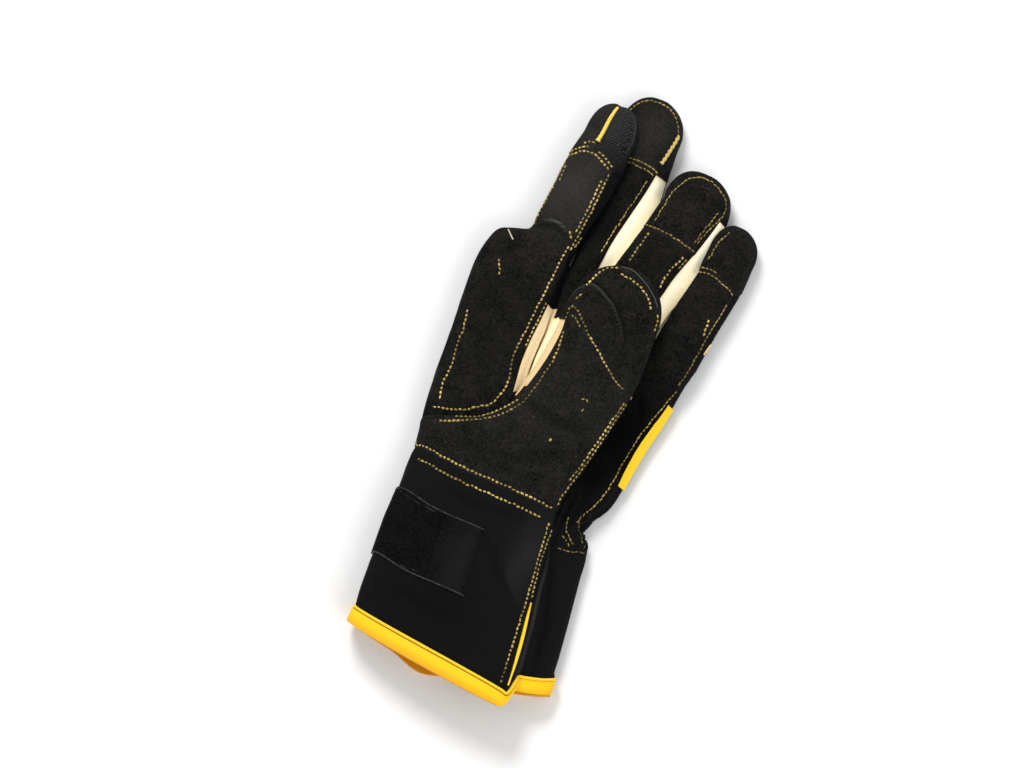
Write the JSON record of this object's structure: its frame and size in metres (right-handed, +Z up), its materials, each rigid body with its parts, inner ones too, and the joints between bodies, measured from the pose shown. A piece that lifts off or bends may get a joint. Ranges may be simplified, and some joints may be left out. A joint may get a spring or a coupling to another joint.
{
  "type": "work glove",
  "caption": "Heavy-duty suede and canvas work glove with a long bound cuff, wrist strap, cream finger gussets and yellow trim, lying palm up with the thumb folded in.",
  "frame": {"origin": "centre of the bounding box's base, on the table the glove lies on", "axes": "+Y from the cuff to the fingertips, +X from the index finger's side to the little finger's side, +Z up out of the palm"},
  "size_m": [0.1258, 0.3172, 0.0362],
  "materials": {
    "palm_suede": "matt brushed suede",
    "canvas": "matt woven cloth",
    "mesh_cloth": "matt knitted cloth",
    "cream_cloth": "matt cloth",
    "binding_tape": "satin woven tape",
    "yellow_trim": "satin tape",
    "strap_webbing": "matt looped cloth"
  },
  "bodies": {
    "root": {"index_panel": "palm_suede", "palm_panel": "palm_suede", "back_panel": "canvas", "index_cap": "palm_suede", "middle_cap": "palm_suede", "ring_cap": "palm_suede", "little_cap": "palm_suede", "radial_side_wall": "canvas", "ulnar_side_wall": "canvas", "index_middle_fourchette": "mesh_cloth", "middle_ring_fourchette": "cream_cloth", "ring_little_fourchette": "cream_cloth", "thumb_web": "cream_cloth", "thenar_panel": "palm_suede", "thumb_cap": "palm_suede", "thumb_underside": "canvas", "thumb_side_wall": "canvas", "thumb_fourchette": "cream_cloth", "thenar_seam_strip": "canvas", "cuff_front": "canvas", "cuff_side_gusset": "canvas", "cuff_back": "canvas", "front_binding": "binding_tape", "back_binding": "binding_tape", "wrist_strap": "strap_webbing", "strap_hook_end": "strap_webbing", "side_tab": "yellow_trim", "side_piping": "yellow_trim", "index_tip_piping": "yellow_trim"}
  },
  "joints": []
}
